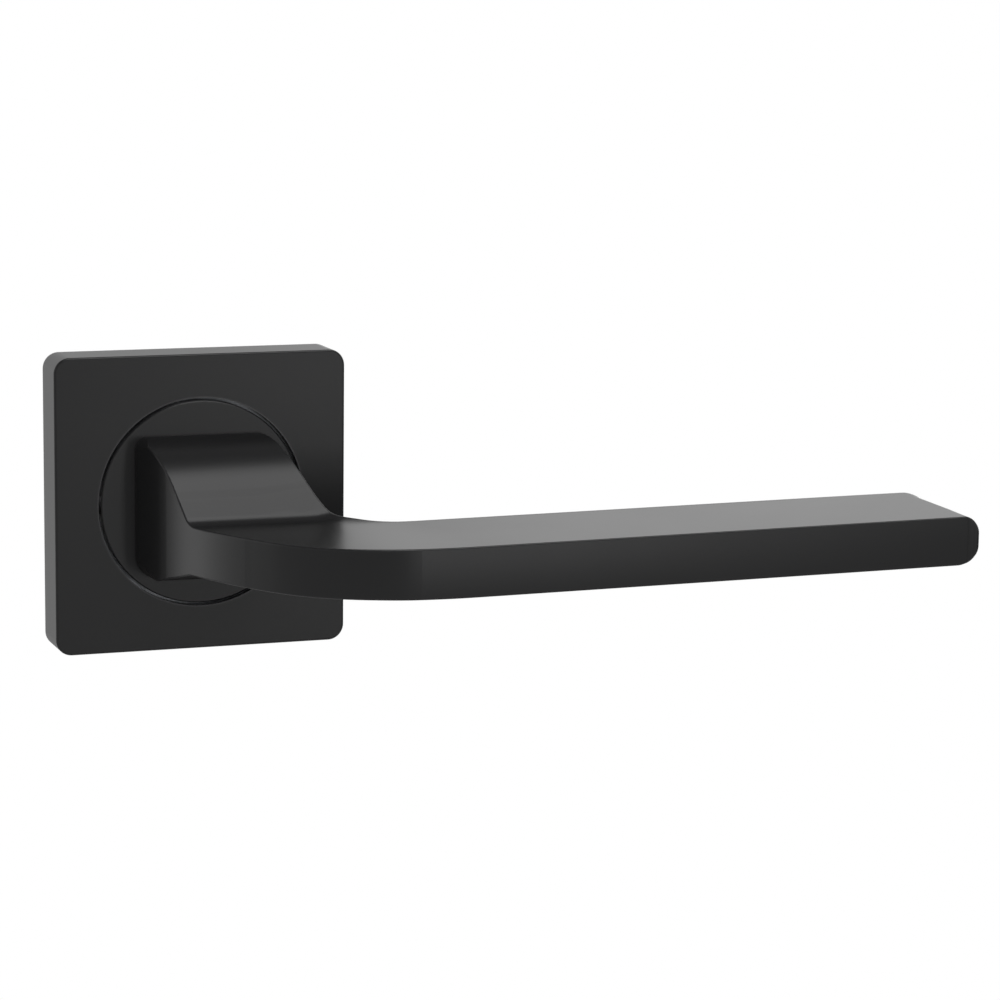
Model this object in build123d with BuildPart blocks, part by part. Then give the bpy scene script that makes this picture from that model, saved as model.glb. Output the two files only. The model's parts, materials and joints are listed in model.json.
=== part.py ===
"""Door lever handle on a square rose, with its spring mechanism.

The origin is on the spindle's axis, in the plane of the door's face. The door is at Y >= 0, the
handle stands out to -Y, the lever points to +X and +Z is up. Sizes are in millimetres.
A "height" below is a distance from the door's face, so a height h lies at Y = -h.
"""

import os
from math import acos, asin, cos, degrees, pi, radians, sin, sqrt, tan

from build123d import *

# Rose cover
rose_size = 52.0
rose_height = 8.8
rose_corner_radius = 2.8
cover_front_wall = 1.4
cover_side_wall = 1.6
cover_edge_radius = 0.4
disc_gap = 0.5

# Disc and hub of the lever
disc_radius = 17.9
disc_thickness = 1.8
disc_edge_chamfer = 0.25
hub_socket_wall = 1.25
hub_shoulder = 0.05

# Neck: root on the disc, seen from the front
root_left = -11.9
root_right = 10.85
root_top = 11.8
root_bottom = -13.0
root_corner_top = 2.5
root_corner_bottom = 4.0

# Neck and blade, seen from above
projection = 58.0
waist_radius = 30.0
waist_angle = 22.7
outer_bend_radius = 28.3
inner_root_angle = 12.7
inner_flank_depth = 8.0
blade_depth = 24.8
blade_taper_angle = 1.5
blade_end_x = 127.0
end_corner_front = 2.5
end_corner_back = 5.0

# Neck and blade, seen from the side
blade_top = -0.9
blade_bottom = -9.3
top_slope_angle = 53.9
top_crest_radius = 18.0
top_foot_radius = 10.1
under_slope_angle = 14.5
under_crest_radius = 33.5
under_foot_radius = 5.0
end_corner_radius = 3.0
lever_edge_radius = 0.3

# Spindle and its clamping screw
spindle_size = 8.0
spindle_edge = 0.5
spindle_end_chamfer = 0.6
spindle_inner_height = 16.5
spindle_outer_length = 45.0
spindle_screw_radius = 2.5
spindle_screw_length = 7.0
spindle_screw_height = 13.4
spindle_screw_hex = 2.5
hex_depth = 2.2

# Base plate
rib_depth = 2.0
wood_screw_spacing = 37.0
wood_screw_hole_radius = 2.2
wood_screw_head_radius = 4.0
countersink_angle = 90.0
pocket_height = 5.6
pocket_wall = 1.4
pocket_corner = 1.0
top_pocket_width = 16.0
top_pocket_size = 5.4
low_pocket_width = 6.6
low_pocket_x = 6.3
side_pocket_width = 4.8
side_pocket_size = 5.6
side_pocket_z = 9.4

# Bush, rings and washers on the hub
bush_wall = 1.15
bush_flange_width = 2.75
ring_thickness = 0.5
ring_inset = 1.1
slip_washer_thickness = 0.4
spring_washer_thickness = 0.35
spring_washer_height = 0.75
washer_width = 1.9
retaining_ring_thickness = 1.0
retaining_ring_width = 2.3
retaining_groove_depth = 0.5
retaining_ring_opening = 50.0

# Drive plate, return spring and travel
drive_plate_thickness = 1.0
drive_plate_wall = 1.85
finger_width = 3.4
finger_thickness = 1.5
lever_travel = 45.0
wire_diameter = 1.0
wire_facets = 10
coil_turns = 1.75
coil_spacing = 0.03
coil_inside_gap = 0.5
coil_outside_gap = 0.3

# Plate that closes the spring chamber
plate_thickness = 0.8
plate_sink = 0.3
plate_seat_width = 0.9
plate_hole_gap = 0.85
plate_ear_radius = 2.9
plate_screw_count = 4
plate_screw_offset = 2.8
plate_screw_radius = 1.25
plate_screw_head_radius = 2.0
plate_screw_length = 4.2
plate_screw_hex = 1.5
plate_screw_hex_depth = 0.5

# Posts for the bolts through the door
post_spacing = 38.0
post_radius = 3.5
post_length = 8.0
post_flange_radius = 4.3
post_flange_thickness = 1.3
post_bolt_radius = 1.7

# Grub screw that locks the cover
cover_screw_radius = 2.0
cover_screw_length = 6.0
cover_screw_height = 3.2
cover_screw_hex = 2.0
cover_screw_engagement = 1.0

# Clearances
running_clearance = 0.05
axial_play = 0.05
fit_clearance = 0.05
part_clearance = 0.1
swing_clearance = 0.25
outline_margin = 0.02

# Heights of the stack between the door and the rose's front
cover_inside = rose_height - cover_front_wall
disc_back = rose_height - disc_thickness
ring_front = disc_back - axial_play
web_front = ring_front - ring_thickness
plate_front = plate_sink + plate_thickness
drive_back = plate_front + axial_play
drive_front = drive_back + drive_plate_thickness
coil_pitch = wire_diameter + coil_spacing
coil_front = drive_front + part_clearance + wire_diameter + coil_pitch * coil_turns
web_back = coil_front + part_clearance
slip_back = web_back - slip_washer_thickness
retaining_front = slip_back - spring_washer_height - axial_play
retaining_back = retaining_front - retaining_ring_thickness
finger_front = web_back - swing_clearance
rib_back = drive_front + swing_clearance

# Radii and half widths that follow
cover_inner_half = rose_size / 2 - cover_side_wall
base_half = cover_inner_half - part_clearance
hole_radius = disc_radius + disc_gap
socket_size = spindle_size + 2 * fit_clearance
hub_square = socket_size + 2 * hub_socket_wall
hub_radius = hub_square / sqrt(2) + hub_shoulder
bush_inner_radius = hub_radius + running_clearance
bush_outer_radius = bush_inner_radius + bush_wall
bush_flange_radius = bush_outer_radius + bush_flange_width
ring_outer_radius = disc_radius - ring_inset
groove_radius = hub_radius - retaining_groove_depth
washer_inner_radius = hub_radius + part_clearance
washer_outer_radius = washer_inner_radius + washer_width
drive_plate_radius = hub_radius + drive_plate_wall
coil_radius = washer_outer_radius + coil_inside_gap + wire_diameter / 2
rib_inner_radius = coil_radius + wire_diameter / 2 + coil_outside_gap
chamber_radius = rib_inner_radius + rib_depth
finger_outer_radius = sqrt((chamber_radius - swing_clearance) ** 2 - (finger_width / 2) ** 2)
finger_inner_radius = finger_outer_radius - finger_thickness
plate_radius = chamber_radius + plate_seat_width
plate_screw_circle = chamber_radius + plate_screw_offset
plate_hole_radius = spindle_size / sqrt(2) + plate_hole_gap

# Angles in the spring chamber, seen from the front and counted from +X towards +Z
finger_angle = 90.0
stop_tab_angle = 270.0
stop_margin = degrees(asin(finger_width / 2 / finger_inner_radius) + swing_clearance / finger_inner_radius)
moving_leg_x = finger_width / 2 + fit_clearance + wire_diameter / 2
moving_leg_angle = degrees(acos(moving_leg_x / coil_radius))
fixed_leg_angle = moving_leg_angle + 360 * coil_turns
rib_leg_margin = degrees((wire_diameter / 2 + fit_clearance) / rib_inner_radius)

os.makedirs("parts", exist_ok=True)


def above(height):
    """Plane parallel to the door at a height, with X to the right and Z up, facing the viewer."""
    return Plane.XZ.offset(height)


def s_curve(start, direction, step, slope, first_radius, second_radius):
    """Rounded step that leaves and arrives along one direction; a positive step goes to its left."""
    turn = slope if step > 0 else -slope
    arcs_step = (first_radius + second_radius) * (1 - cos(radians(slope)))
    crest = JernArc(start, direction, first_radius, turn)
    ramp = PolarLine(crest @ 1, (abs(step) - arcs_step) / sin(radians(slope)), direction=crest % 1)
    return JernArc(ramp @ 1, ramp % 1, second_radius, -turn)


def ring_face(outer_radius, inner_radius):
    """Flat ring in the current sketch."""
    Circle(outer_radius)
    Circle(inner_radius, mode=Mode.SUBTRACT)


def ring_sector(inner_radius, outer_radius, start, end, mode=Mode.ADD):
    """Part of a flat ring between two angles, in the current sketch."""
    with BuildLine() as sector:
        inner = CenterArc((0, 0), inner_radius, start, end - start)
        outer = CenterArc((0, 0), outer_radius, start, end - start)
        Line(inner @ 0, outer @ 0)
        Line(inner @ 1, outer @ 1)
    make_face(sector.edges(), mode=mode)


def plate_outline(grow):
    """Round plate with an ear for each screw, in the current sketch."""
    Circle(plate_radius + grow)
    with PolarLocations(plate_screw_circle, plate_screw_count, start_angle=45):
        Circle(plate_ear_radius + grow)


def finish(part, name):
    """Label a finished piece and write it."""
    part.label = name
    export_step(part, f"parts/{name}.step")


# Lever: outlines from above, from the side and from the front cut each other
neck_start = -(disc_back + disc_thickness / 2)
disc_front = -rose_height
blade_back = -(projection - blade_depth)
inner_start = disc_front - inner_flank_depth
inner_bend_radius = (inner_start - blade_back) / (1 - sin(radians(inner_root_angle)))
inner_run = (neck_start - inner_start) / cos(radians(inner_root_angle))
flank_start_x = root_right - (neck_start - disc_front) * tan(radians(inner_root_angle))
inner_direction = (sin(radians(inner_root_angle)), -cos(radians(inner_root_angle)))
reach = projection + blade_end_x

with BuildPart() as lever:
    with BuildSketch(Plane.XY) as outline_from_above:
        with BuildLine():
            left_stub = Line((root_left, neck_start), (root_left, disc_front))
            waist = JernArc(left_stub @ 1, (0, -1), waist_radius, waist_angle)
            ramp_depth = projection + (waist @ 1).Y - outer_bend_radius * (1 - sin(radians(waist_angle)))
            ramp = PolarLine(waist @ 1, ramp_depth / cos(radians(waist_angle)), direction=waist % 1)
            outer_bend = JernArc(ramp @ 1, ramp % 1, outer_bend_radius, 90 - waist_angle)
            front = Line(outer_bend @ 1, (blade_end_x, -projection))
            flank = PolarLine((flank_start_x, neck_start), inner_run, direction=inner_direction)
            inner_turn = 90 - inner_root_angle + blade_taper_angle
            inner_bend = JernArc(flank @ 1, flank % 1, inner_bend_radius, inner_turn)
            back_run = (blade_end_x - (inner_bend @ 1).X) / cos(radians(blade_taper_angle))
            back = PolarLine(inner_bend @ 1, back_run, direction=inner_bend % 1)
            Line(front @ 1, back @ 1)
            Line(left_stub @ 0, flank @ 0)
        make_face()
        fillet(outline_from_above.vertices().group_by(Axis.X)[-1].sort_by(Axis.Y)[-1], end_corner_back)
        fillet(outline_from_above.vertices().group_by(Axis.Y)[0].sort_by(Axis.X)[-1], end_corner_front)
    extrude(amount=reach, both=True)

    with BuildSketch(Plane.YZ):
        with BuildLine():
            top_root = Line((neck_start, root_top), (disc_front, root_top))
            top_drop = root_top - blade_top
            top_step = s_curve(
                top_root @ 1, (-1, 0), top_drop, top_slope_angle, top_crest_radius, top_foot_radius
            )
            under_root = Line((neck_start, root_bottom), (disc_front, root_bottom))
            under_drop = root_bottom - blade_bottom
            under_step = s_curve(
                under_root @ 1, (-1, 0), under_drop, under_slope_angle, under_crest_radius, under_foot_radius
            )
            blade_top_line = Line(top_step @ 1, (-reach, blade_top))
            blade_under_line = Line(under_step @ 1, (-reach, blade_bottom))
            Line(blade_top_line @ 1, blade_under_line @ 1)
            Line(top_root @ 0, under_root @ 0)
        make_face()
    extrude(amount=reach, both=True, mode=Mode.INTERSECT)
    fillet(lever.edges().filter_by(Axis.X).group_by(Axis.Y)[0], lever_edge_radius)

    with BuildSketch(Plane.XZ):
        with BuildLine():
            blade_start_x = (outer_bend @ 1).X
            high_left = (root_left - outline_margin, root_top + outline_margin)
            low_left = (root_left - outline_margin, root_bottom - outline_margin)
            high_bend = (blade_start_x, root_top + outline_margin)
            low_bend = (blade_start_x, root_bottom - outline_margin)
            high_start = (blade_start_x, blade_top + outline_margin)
            low_start = (blade_start_x, blade_bottom - outline_margin)
            high_end = (blade_end_x, blade_top + outline_margin)
            low_end = (blade_end_x, blade_bottom - outline_margin)
            left_half = FilletPolyline(
                high_bend, high_left, low_left, low_bend, radius=(root_corner_top, root_corner_bottom)
            )
            right_half = FilletPolyline(high_start, high_end, low_end, low_start, radius=end_corner_radius)
            Line(left_half @ 0, right_half @ 0)
            Line(left_half @ 1, right_half @ 1)
        make_face()
    extrude(amount=reach, both=True, mode=Mode.INTERSECT)

    with BuildSketch(above(disc_back)):
        Circle(disc_radius)
    extrude(amount=disc_thickness)
    disc_rims = lever.edges().filter_by(lambda edge: abs(edge.length - 2 * pi * disc_radius) < outline_margin)
    chamfer(disc_rims.sort_by(Axis.Y)[0], disc_edge_chamfer)
    with BuildSketch(above(drive_front)):
        Circle(hub_radius)
    extrude(amount=disc_back - drive_front)
    with BuildSketch(above(drive_back)):
        Rectangle(hub_square, hub_square)
    extrude(amount=drive_front - drive_back)

    with BuildSketch(above(retaining_back - axial_play)):
        ring_face(disc_radius, groove_radius)
    extrude(amount=retaining_ring_thickness + 2 * axial_play, mode=Mode.SUBTRACT)
    with BuildSketch(above(drive_back)):
        Rectangle(socket_size, socket_size)
    extrude(amount=spindle_inner_height + part_clearance - drive_back, mode=Mode.SUBTRACT)
    with BuildSketch(Plane.XY):
        with Locations((0, -spindle_screw_height)):
            Circle(spindle_screw_radius + fit_clearance)
    extrude(amount=root_bottom, mode=Mode.SUBTRACT)

finish(lever.part, "lever")


# Spindle and the screw that clamps it
with BuildPart() as spindle:
    with BuildSketch(above(-spindle_outer_length)) as spindle_section:
        Rectangle(spindle_size, spindle_size)
        chamfer(spindle_section.vertices(), spindle_edge)
    extrude(amount=spindle_outer_length + spindle_inner_height)
    chamfer(spindle.faces().sort_by(Axis.Y)[-1].edges(), spindle_end_chamfer)
finish(spindle.part, "spindle")

with BuildPart() as spindle_grub_screw:
    with BuildSketch(Plane.XY.offset(-spindle_size / 2)):
        with Locations((0, -spindle_screw_height)):
            Circle(spindle_screw_radius)
    extrude(amount=-spindle_screw_length)
    with BuildSketch(Plane.XY.offset(-spindle_size / 2 - spindle_screw_length)):
        with Locations((0, -spindle_screw_height)):
            RegularPolygon(spindle_screw_hex / 2, 6, major_radius=False)
    extrude(amount=hex_depth, mode=Mode.SUBTRACT)
finish(spindle_grub_screw.part, "spindle_grub_screw")


# Drive plate: square hole on the hub, spring finger above and stop tab below
with BuildPart() as drive_plate:
    with BuildSketch(above(drive_back)):
        Circle(drive_plate_radius)
        Rectangle(finger_width, 2 * finger_outer_radius)
        Rectangle(hub_square + 2 * fit_clearance, hub_square + 2 * fit_clearance, mode=Mode.SUBTRACT)
    extrude(amount=drive_plate_thickness)
    with BuildSketch(above(drive_front)):
        with GridLocations(1, finger_inner_radius + finger_outer_radius, 1, 2):
            Rectangle(finger_width, finger_thickness)
    extrude(amount=finger_front - drive_front)
finish(drive_plate.part, "drive_plate")


# Snap ring in the hub's groove
with BuildPart() as retaining_ring:
    with BuildSketch(above(retaining_back)):
        ring_inner = groove_radius + outline_margin
        opening_end = 270 - retaining_ring_opening / 2
        opening_start = retaining_ring_opening / 2 - 90
        ring_sector(ring_inner, ring_inner + retaining_ring_width, opening_start, opening_end)
    extrude(amount=retaining_ring_thickness)
finish(retaining_ring.part, "retaining_ring")


# Bush, rings and washers
with BuildPart() as bearing_bush:
    with BuildSketch(above(web_back)):
        ring_face(bush_outer_radius, bush_inner_radius)
    extrude(amount=web_front - web_back)
    with BuildSketch(above(web_front)):
        ring_face(bush_flange_radius, bush_inner_radius)
    extrude(amount=ring_thickness)
finish(bearing_bush.part, "bearing_bush")

with BuildPart() as glide_ring:
    with BuildSketch(above(web_front)):
        ring_face(ring_outer_radius, bush_flange_radius + swing_clearance)
    extrude(amount=ring_thickness)
finish(glide_ring.part, "glide_ring")

with BuildPart() as slip_washer:
    with BuildSketch(above(slip_back)):
        ring_face(washer_outer_radius, washer_inner_radius)
    extrude(amount=slip_washer_thickness)
finish(slip_washer.part, "slip_washer")

with BuildPart() as spring_washer:
    with BuildSketch(Plane.XY):
        washer_back = slip_back - spring_washer_height
        with BuildLine():
            Polyline(
                (washer_inner_radius, -washer_back),
                (washer_inner_radius, -washer_back - spring_washer_thickness),
                (washer_outer_radius, -slip_back),
                (washer_outer_radius, -slip_back + spring_washer_thickness),
                close=True,
            )
        make_face()
    revolve(axis=Axis.Y)
finish(spring_washer.part, "spring_washer")


# Return spring: coil round the washers, one leg on the drive plate's finger, one on the base's rib
moving_leg_height = coil_front - wire_diameter / 2 - coil_pitch * coil_turns
coil_plane = Plane(
    origin=(0, -moving_leg_height, 0),
    x_dir=(cos(radians(moving_leg_angle)), 0, sin(radians(moving_leg_angle))),
    z_dir=(0, -1, 0),
)
leg_end_radius = chamber_radius - swing_clearance
fixed_leg_direction = (cos(radians(fixed_leg_angle)), 0, sin(radians(fixed_leg_angle)))

with BuildPart() as return_spring:
    with BuildLine() as coil:
        add(coil_plane.location * Helix(coil_pitch, coil_pitch * coil_turns, coil_radius, mode=Mode.PRIVATE))
    with BuildSketch(Plane(origin=coil.line @ 0, z_dir=coil.line % 0)):
        RegularPolygon(wire_diameter / 2, wire_facets)
    sweep(path=coil.line)
    with BuildSketch(Plane(origin=coil.line @ 0, z_dir=(0, 0, 1))):
        Circle(wire_diameter / 2)
    extrude(amount=leg_end_radius - (coil.line @ 0).Z)
    with BuildSketch(Plane(origin=coil.line @ 1, z_dir=fixed_leg_direction)):
        Circle(wire_diameter / 2)
    extrude(amount=leg_end_radius - coil_radius)
    with Locations(coil.line @ 0, coil.line @ 1):
        Sphere(wire_diameter / 2)
finish(return_spring.part, "return_spring")


# Rose cover
with BuildPart() as rose_cover:
    with BuildSketch(above(0)):
        RectangleRounded(rose_size, rose_size, rose_corner_radius)
    extrude(amount=rose_height)
    fillet(rose_cover.faces().sort_by(Axis.Y)[0].edges(), cover_edge_radius)
    with BuildSketch(above(0)):
        RectangleRounded(2 * cover_inner_half, 2 * cover_inner_half, rose_corner_radius - cover_side_wall)
    extrude(amount=cover_inside, mode=Mode.SUBTRACT)
    with BuildSketch(above(cover_inside)):
        Circle(hole_radius)
    extrude(amount=cover_front_wall, mode=Mode.SUBTRACT)
    with BuildSketch(Plane.XY.offset(-rose_size / 2)):
        with Locations((0, -cover_screw_height)):
            Circle(cover_screw_radius + part_clearance)
    extrude(amount=cover_side_wall, mode=Mode.SUBTRACT)
finish(rose_cover.part, "rose_cover")


# Rose base: recess for the disc in front, spring chamber and casting pockets behind
with BuildPart() as rose_base:
    with BuildSketch(above(0)):
        RectangleRounded(2 * base_half, 2 * base_half, rose_corner_radius - cover_side_wall)
    extrude(amount=cover_inside)
    with BuildSketch(above(web_front)):
        Circle(hole_radius)
    extrude(amount=cover_inside - web_front, mode=Mode.SUBTRACT)
    with BuildSketch(above(0)):
        Circle(bush_outer_radius + outline_margin)
    extrude(amount=web_front, mode=Mode.SUBTRACT)

    with BuildSketch(above(0)):
        Circle(chamber_radius)
    extrude(amount=rib_back, mode=Mode.SUBTRACT)
    with BuildSketch(above(rib_back)):
        Circle(chamber_radius)
        ring_sector(
            rib_inner_radius,
            chamber_radius + outline_margin,
            finger_angle + stop_margin,
            stop_tab_angle - lever_travel - stop_margin,
            mode=Mode.SUBTRACT,
        )
        ring_sector(
            rib_inner_radius,
            chamber_radius + outline_margin,
            stop_tab_angle + stop_margin,
            fixed_leg_angle - 360 - rib_leg_margin,
            mode=Mode.SUBTRACT,
        )
    extrude(amount=web_back - rib_back, mode=Mode.SUBTRACT)

    with BuildSketch(above(0)):
        plate_outline(part_clearance)
    extrude(amount=plate_front, mode=Mode.SUBTRACT)
    with BuildSketch(above(plate_front)):
        with PolarLocations(plate_screw_circle, plate_screw_count, start_angle=45):
            Circle(plate_screw_radius + outline_margin)
    extrude(amount=plate_screw_length, mode=Mode.SUBTRACT)

    with BuildSketch(above(0)):
        with GridLocations(post_spacing, 1, 2, 1):
            Circle(post_radius + outline_margin)
    extrude(amount=cover_inside, mode=Mode.SUBTRACT)
    with BuildSketch(above(web_front - post_flange_thickness)):
        with GridLocations(post_spacing, 1, 2, 1):
            Circle(post_flange_radius + fit_clearance)
    extrude(amount=cover_inside, mode=Mode.SUBTRACT)
    with Locations(above(cover_inside)):
        with GridLocations(wood_screw_spacing, wood_screw_spacing, 2, 2):
            CounterSinkHole(
                wood_screw_hole_radius, wood_screw_head_radius, cover_inside, countersink_angle
            )

    with BuildSketch(above(0)):
        pocket_z = base_half - pocket_wall - top_pocket_size / 2
        side_pocket_x = base_half - pocket_wall - side_pocket_width / 2
        with Locations((0, pocket_z)):
            RectangleRounded(top_pocket_width, top_pocket_size, pocket_corner)
        with Locations((-low_pocket_x, -pocket_z), (low_pocket_x, -pocket_z)):
            RectangleRounded(low_pocket_width, top_pocket_size, pocket_corner)
        with GridLocations(2 * side_pocket_x, 2 * side_pocket_z, 2, 2):
            RectangleRounded(side_pocket_width, side_pocket_size, pocket_corner)
    extrude(amount=pocket_height, mode=Mode.SUBTRACT)
    with BuildSketch(Plane.XY.offset(-base_half)):
        with Locations((0, -cover_screw_height)):
            Circle(cover_screw_radius + outline_margin)
    extrude(amount=cover_screw_length, mode=Mode.SUBTRACT)
finish(rose_base.part, "rose_base")

with BuildPart() as cover_grub_screw:
    screw_outer_z = -(cover_inner_half + cover_screw_engagement)
    with BuildSketch(Plane.XY.offset(screw_outer_z)):
        with Locations((0, -cover_screw_height)):
            Circle(cover_screw_radius)
    extrude(amount=cover_screw_length)
    with BuildSketch(Plane.XY.offset(screw_outer_z)):
        with Locations((0, -cover_screw_height)):
            RegularPolygon(cover_screw_hex / 2, 6, major_radius=False)
    extrude(amount=hex_depth, mode=Mode.SUBTRACT)
finish(cover_grub_screw.part, "cover_grub_screw")


# Plate that closes the chamber, and its screws
plate_head_depth = plate_screw_head_radius - plate_screw_radius

with BuildPart() as spring_plate:
    with BuildSketch(above(plate_sink)):
        plate_outline(0)
        Circle(plate_hole_radius, mode=Mode.SUBTRACT)
    extrude(amount=plate_thickness)
    with Locations(Plane(origin=(0, -plate_sink, 0), x_dir=(-1, 0, 0), z_dir=(0, 1, 0))):
        with PolarLocations(plate_screw_circle, plate_screw_count, start_angle=45):
            CounterSinkHole(
                plate_screw_radius + outline_margin,
                plate_screw_head_radius + outline_margin,
                plate_thickness,
                countersink_angle,
            )
finish(spring_plate.part, "spring_plate")

for number in range(plate_screw_count):
    screw_angle = radians(45 + 360 / plate_screw_count * number)
    screw_x = plate_screw_circle * cos(screw_angle)
    screw_z = plate_screw_circle * sin(screw_angle)
    with BuildPart() as plate_screw:
        with BuildSketch(above(plate_sink)):
            with Locations((screw_x, screw_z)):
                Circle(plate_screw_head_radius)
        with BuildSketch(above(plate_sink + plate_head_depth)):
            with Locations((screw_x, screw_z)):
                Circle(plate_screw_radius)
        loft()
        with BuildSketch(above(plate_sink + plate_head_depth)):
            with Locations((screw_x, screw_z)):
                Circle(plate_screw_radius)
        extrude(amount=plate_screw_length - plate_head_depth)
        with BuildSketch(above(plate_sink)):
            with Locations((screw_x, screw_z)):
                RegularPolygon(plate_screw_hex / 2, 6, major_radius=False)
        extrude(amount=plate_screw_hex_depth, mode=Mode.SUBTRACT)
    finish(plate_screw.part, f"plate_screw_{number + 1}")


# Threaded posts that pass into the door
for side, post_x in (("left", -post_spacing / 2), ("right", post_spacing / 2)):
    with BuildPart() as fixing_post:
        with BuildSketch(above(-post_length)):
            with Locations((post_x, 0)):
                Circle(post_radius)
        extrude(amount=post_length + web_front)
        with BuildSketch(above(web_front - post_flange_thickness)):
            with Locations((post_x, 0)):
                Circle(post_flange_radius)
        extrude(amount=post_flange_thickness)
        with BuildSketch(above(-post_length)):
            with Locations((post_x, 0)):
                Circle(post_bolt_radius)
        extrude(amount=post_length + web_front, mode=Mode.SUBTRACT)
    finish(fixing_post.part, f"fixing_post_{side}")
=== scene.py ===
# %% [markdown]
# # A door lever handle on a square rose
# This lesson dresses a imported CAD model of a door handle: a flat lever on a square rose, all in
# satin black, with a sprung mechanism in bare metal behind it. The CAD model gives every piece its
# size and place. Blender adds the finishes, the light, the camera and the fine threads, and shows
# the lever as a reshaped copy.

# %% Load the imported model
import json
import math

import bmesh
import bpy
from mathutils import Matrix, Vector


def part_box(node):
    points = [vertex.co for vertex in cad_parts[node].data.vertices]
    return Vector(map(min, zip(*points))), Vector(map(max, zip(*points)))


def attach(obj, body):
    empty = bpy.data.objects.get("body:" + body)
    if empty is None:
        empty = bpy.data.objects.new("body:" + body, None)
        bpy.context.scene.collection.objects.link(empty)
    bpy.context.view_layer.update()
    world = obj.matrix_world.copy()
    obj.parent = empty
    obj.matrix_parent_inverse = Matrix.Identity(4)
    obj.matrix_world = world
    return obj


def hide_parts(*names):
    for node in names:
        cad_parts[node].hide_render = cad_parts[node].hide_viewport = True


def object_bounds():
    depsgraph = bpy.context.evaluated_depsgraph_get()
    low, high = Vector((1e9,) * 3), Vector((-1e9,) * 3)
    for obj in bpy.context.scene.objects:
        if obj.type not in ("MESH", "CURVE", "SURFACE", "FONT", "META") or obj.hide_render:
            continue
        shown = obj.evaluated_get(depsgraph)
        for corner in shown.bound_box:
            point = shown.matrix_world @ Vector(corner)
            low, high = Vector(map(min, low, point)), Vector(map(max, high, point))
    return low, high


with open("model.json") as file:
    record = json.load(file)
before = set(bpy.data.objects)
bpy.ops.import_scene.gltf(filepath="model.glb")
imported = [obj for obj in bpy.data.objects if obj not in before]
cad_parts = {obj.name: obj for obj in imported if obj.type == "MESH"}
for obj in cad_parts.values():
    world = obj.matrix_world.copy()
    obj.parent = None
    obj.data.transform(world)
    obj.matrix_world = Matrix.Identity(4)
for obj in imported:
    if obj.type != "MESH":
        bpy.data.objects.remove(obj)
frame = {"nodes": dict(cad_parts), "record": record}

cad_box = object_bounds()
nodes = frame["nodes"]
MM = 0.001
print("loaded", len(nodes), "pieces, box in mm:", [[round(v / MM, 1) for v in corner] for corner in cad_box])

# %% [markdown]
# ## The camera
# A long lens looks at the handle from the left and a little from above. The angles, the distance
# and the framing were solved from straight edges of the rose, so they are written as measured.
# Three axes give the camera's turn more plainly than three stacked rotations would.

# %% Camera
LENS_PER_SENSOR = 3.5
SENSOR_WIDTH = 36.0
YAW = math.radians(19.923)
PITCH = math.radians(9.566)
ROLL = math.radians(0.661)
VIEW_DISTANCE = 618.70 * MM
FRAME_SHIFT = (-55.01 * MM, 1.08 * MM)

forward = Vector((math.sin(YAW) * math.cos(PITCH), math.cos(YAW) * math.cos(PITCH), -math.sin(PITCH)))
level_right = Vector((math.cos(YAW), -math.sin(YAW), 0))
level_up = level_right.cross(forward)
camera_right = level_right * math.cos(ROLL) + level_up * math.sin(ROLL)
camera_up = level_up * math.cos(ROLL) - level_right * math.sin(ROLL)
camera_place = -(FRAME_SHIFT[0] * camera_right + FRAME_SHIFT[1] * camera_up + VIEW_DISTANCE * forward)

camera_data = bpy.data.cameras.new("handle_camera")
camera_data.sensor_width = SENSOR_WIDTH
camera_data.lens = LENS_PER_SENSOR * SENSOR_WIDTH
camera_data.clip_start = 0.01
camera = bpy.data.objects.new("handle_camera", camera_data)
bpy.context.scene.collection.objects.link(camera)
turn = Matrix((camera_right, camera_up, -forward)).transposed().to_4x4()
camera.matrix_world = Matrix.Translation(camera_place) @ turn
bpy.context.scene.camera = camera
bpy.context.scene.view_settings.view_transform = "Standard"
print("camera at", [round(v, 3) for v in camera_place], "with a", round(camera_data.lens), "mm lens")

# %% [markdown]
# ## The studio
# Black metal shows little of its own colour. What the eye reads is the room in it, so the light is
# set up for reflections: a bright backdrop behind, a softbox above and a little in front, and a
# dimmer front. Two narrow cards, one in front on the right and one behind on the left, put a soft
# streak on the blade's front and on the neck's side. A node that knows the kind of ray lets the
# camera see plain white everywhere, lets reflections see a backdrop that fades towards the left,
# the front and the ceiling, and keeps the soft light on matt surfaces at a calm level.

# %% Helpers for nodes
def add_node(tree, kind, **values):
    """Adds a node and sets its properties by name."""
    made = tree.nodes.new(kind)
    for name, value in values.items():
        setattr(made, name, value)
    return made


def wire(tree, *pairs):
    """Links pairs of sockets."""
    for source, target in pairs:
        tree.links.new(source, target)


def ramp(tree, source, start, end, low, high):
    """Eases a value from low to high between two limits."""
    eased = add_node(tree, "ShaderNodeMapRange", interpolation_type="SMOOTHSTEP")
    for name, value in (("From Min", start), ("From Max", end), ("To Min", low), ("To Max", high)):
        eased.inputs[name].default_value = value
    tree.links.new(source, eased.inputs["Value"])
    return eased.outputs[0]


def ray_kinds(tree):
    """Gives a mask for camera rays, and one for mirrored and see-through rays."""
    rays = add_node(tree, "ShaderNodeLightPath")
    mirrored = add_node(tree, "ShaderNodeMath", operation="MAXIMUM")
    wire(
        tree,
        (rays.outputs["Is Glossy Ray"], mirrored.inputs[0]),
        (rays.outputs["Is Transmission Ray"], mirrored.inputs[1]),
    )
    return rays.outputs["Is Camera Ray"], mirrored.outputs[0]


def choose(tree, mask, off, on):
    """Mixes two numbers or sockets by a mask."""
    mixed = add_node(tree, "ShaderNodeMix")
    tree.links.new(mask, mixed.inputs[0])
    for slot, value in ((2, off), (3, on)):
        if isinstance(value, (int, float)):
            mixed.inputs[slot].default_value = value
        else:
            tree.links.new(value, mixed.inputs[slot])
    return mixed.outputs[0]


print("node helpers ready")

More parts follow.
